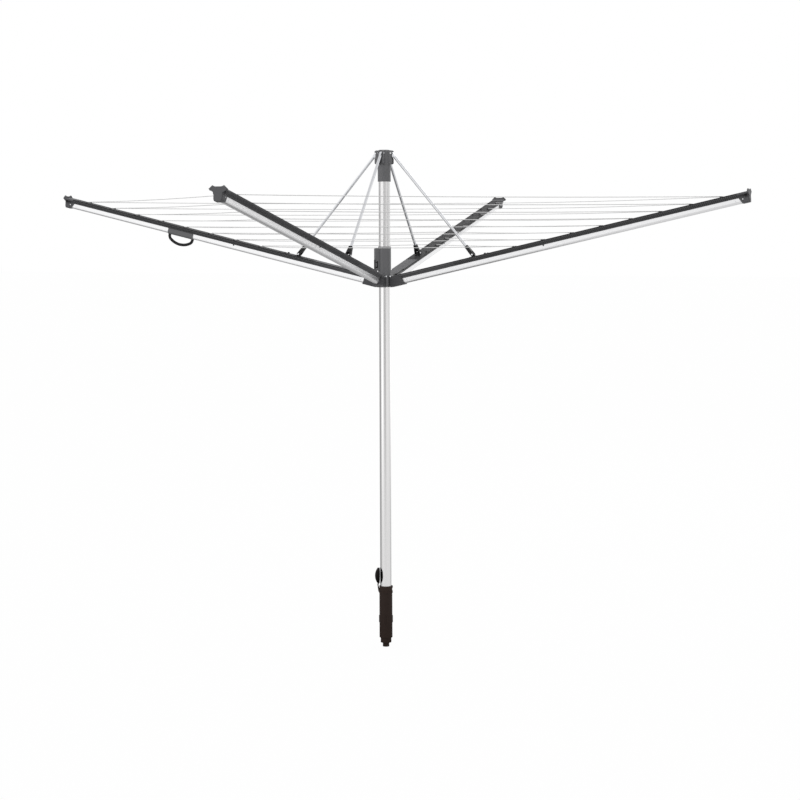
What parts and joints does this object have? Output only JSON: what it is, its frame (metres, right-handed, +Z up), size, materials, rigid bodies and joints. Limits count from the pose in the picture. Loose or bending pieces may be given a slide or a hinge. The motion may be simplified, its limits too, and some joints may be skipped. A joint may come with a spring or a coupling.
{
  "type": "rotary clothesline",
  "caption": "Rotary clothesline with folding arms on a central mast, struts to a top head, drawn-in lines, a pull handle and a lidded ground socket.",
  "frame": {"origin": "centre of the ground socket's rim, on the mast's axis", "axes": "+Z up along the mast; +X along one open arm's plan direction, away from the arm with the handle; +Y along the next arm"},
  "size_m": [3.2132, 3.2132, 2.207],
  "materials": {
    "mast_aluminium": "satin clear-anodised extruded tube",
    "arm_aluminium": "satin clear-anodised extrusion with fine lengthwise lines",
    "grey_plastic": "fine matt moulded plastic, dark grey",
    "black_plastic": "fine matt moulded plastic, near black",
    "socket_plastic": "matt moulded plastic, brownish black",
    "steel": "bright turned steel pins and rivets",
    "line_cord": "smooth off-white plastic-coated cord"
  },
  "bodies": {
    "ground": {"ground_socket": "socket_plastic", "lid_pin": "steel"},
    "lid": {"lid": "socket_plastic"},
    "mast": {"mast_tube": "mast_aluminium", "foot_plug": "black_plastic", "top_collar": "grey_plastic", "strut_head": "grey_plastic", "head_rivets": "steel"},
    "slider": {"slider_sleeve": "grey_plastic", "slider_hub": "grey_plastic", "slider_bushes": "black_plastic", "arm_hinge_pins": "steel", "latch_pin": "steel", "latch_spring": "steel"},
    "latch": {"latch_lever": "black_plastic"},
    "right_arm": {"right_arm_channel": "arm_aluminium", "right_arm_cover": "grey_plastic", "right_arm_root": "grey_plastic", "right_arm_tip": "grey_plastic", "right_strut_bracket": "black_plastic", "right_bracket_pin": "steel", "right_lines": "line_cord"},
    "right_carriage": {"right_line_carriage": "black_plastic"},
    "right_strut": {"right_strut_tube": "arm_aluminium", "right_strut_fork": "black_plastic"},
    "back_arm": {"back_arm_channel": "arm_aluminium", "back_arm_cover": "grey_plastic", "back_arm_root": "grey_plastic", "back_arm_tip": "grey_plastic", "back_strut_bracket": "black_plastic", "back_bracket_pin": "steel", "back_lines": "line_cord"},
    "back_carriage": {"back_line_carriage": "black_plastic"},
    "back_strut": {"back_strut_tube": "arm_aluminium", "back_strut_fork": "black_plastic"},
    "left_arm": {"left_arm_channel": "arm_aluminium", "left_arm_cover": "grey_plastic", "left_arm_root": "grey_plastic", "left_arm_tip": "grey_plastic", "left_strut_bracket": "black_plastic", "left_bracket_pin": "steel", "left_lines": "line_cord", "handle_bracket": "grey_plastic", "handle_loop": "black_plastic"},
    "left_carriage": {"left_line_carriage": "black_plastic"},
    "left_strut": {"left_strut_tube": "arm_aluminium", "left_strut_fork": "black_plastic"},
    "front_arm": {"front_arm_channel": "arm_aluminium", "front_arm_cover": "grey_plastic", "front_arm_root": "grey_plastic", "front_arm_tip": "grey_plastic", "front_strut_bracket": "black_plastic", "front_bracket_pin": "steel", "front_lines": "line_cord"},
    "front_carriage": {"front_line_carriage": "black_plastic"},
    "front_strut": {"front_strut_tube": "arm_aluminium", "front_strut_fork": "black_plastic"}
  },
  "joints": [
    {"name": "mast_spin", "type": "hinge", "parent": "ground", "child": "mast", "pos_m": [0, 0, 0], "axis": [0, 0, 1], "continuous": true},
    {"name": "lid_hinge", "type": "hinge", "parent": "ground", "child": "lid", "pos_m": [-0.03281, -0.01066, 0.007], "axis": [0.309, -0.9511, 0], "range_deg": [0, 85]},
    {"name": "slider_travel", "type": "slide", "parent": "mast", "child": "slider", "axis": [0, 0, -1], "range_m": [0, 0.4296]},
    {"name": "latch_press", "type": "hinge", "parent": "slider", "child": "latch", "pos_m": [-0.02687, -0.02687, 1.433], "axis": [-0.7071, 0.7071, 0], "range_deg": [0, 6], "stiffness_Nm_per_rad": 2, "deforming": ["latch_spring"]},
    {"name": "right_arm_fold", "type": "hinge", "parent": "slider", "child": "right_arm", "pos_m": [0.0345, 0, 1.38], "axis": [0, -1, 0], "range_deg": [0, 75.63], "deforming": ["right_lines"]},
    {"name": "right_strut_swing", "type": "hinge", "parent": "right_arm", "child": "right_strut", "pos_m": [0.41064, 0, 1.47702], "axis": [0, 1, 0], "range_deg": [0, 116.25]},
    {"name": "right_line_take_up", "type": "slide", "parent": "right_arm", "child": "right_carriage", "axis": [-0.9749, 0, -0.2227], "range_m": [0, 0.6]},
    {"name": "back_arm_fold", "type": "hinge", "parent": "slider", "child": "back_arm", "pos_m": [0, 0.0345, 1.38], "axis": [1, 0, 0], "range_deg": [0, 75.63], "deforming": ["back_lines"]},
    {"name": "back_strut_swing", "type": "hinge", "parent": "back_arm", "child": "back_strut", "pos_m": [0, 0.41064, 1.47702], "axis": [-1, 0, 0], "range_deg": [0, 116.25]},
    {"name": "back_line_take_up", "type": "slide", "parent": "back_arm", "child": "back_carriage", "axis": [0, -0.9749, -0.2227], "range_m": [0, 0.6]},
    {"name": "left_arm_fold", "type": "hinge", "parent": "slider", "child": "left_arm", "pos_m": [-0.0345, 0, 1.38], "axis": [0, 1, 0], "range_deg": [0, 75.63], "deforming": ["left_lines"]},
    {"name": "left_strut_swing", "type": "hinge", "parent": "left_arm", "child": "left_strut", "pos_m": [-0.41064, 0, 1.47702], "axis": [0, -1, 0], "range_deg": [0, 116.25]},
    {"name": "left_line_take_up", "type": "slide", "parent": "left_arm", "child": "left_carriage", "axis": [0.9749, 0, -0.2227], "range_m": [0, 0.6]},
    {"name": "front_arm_fold", "type": "hinge", "parent": "slider", "child": "front_arm", "pos_m": [0, -0.0345, 1.38], "axis": [-1, 0, 0], "range_deg": [0, 75.63], "deforming": ["front_lines"]},
    {"name": "front_strut_swing", "type": "hinge", "parent": "front_arm", "child": "front_strut", "pos_m": [0, -0.41064, 1.47702], "axis": [1, 0, 0], "range_deg": [0, 116.25]},
    {"name": "front_line_take_up", "type": "slide", "parent": "front_arm", "child": "front_carriage", "axis": [0, 0.9749, -0.2227], "range_m": [0, 0.6]}
  ],
  "couplings": [
    {"joint": "right_arm_fold", "follows": "slider_travel", "rad_per_m": 3.0723},
    {"joint": "right_strut_swing", "follows": "slider_travel", "rad_per_m": 4.7221},
    {"joint": "right_line_take_up", "follows": "slider_travel", "ratio": 1.396},
    {"joint": "back_arm_fold", "follows": "slider_travel", "rad_per_m": 3.0723},
    {"joint": "back_strut_swing", "follows": "slider_travel", "rad_per_m": 4.7221},
    {"joint": "back_line_take_up", "follows": "slider_travel", "ratio": 1.396},
    {"joint": "left_arm_fold", "follows": "slider_travel", "rad_per_m": 3.0723},
    {"joint": "left_strut_swing", "follows": "slider_travel", "rad_per_m": 4.7221},
    {"joint": "left_line_take_up", "follows": "slider_travel", "ratio": 1.396},
    {"joint": "front_arm_fold", "follows": "slider_travel", "rad_per_m": 3.0723},
    {"joint": "front_strut_swing", "follows": "slider_travel", "rad_per_m": 4.7221},
    {"joint": "front_line_take_up", "follows": "slider_travel", "ratio": 1.396}
  ]
}
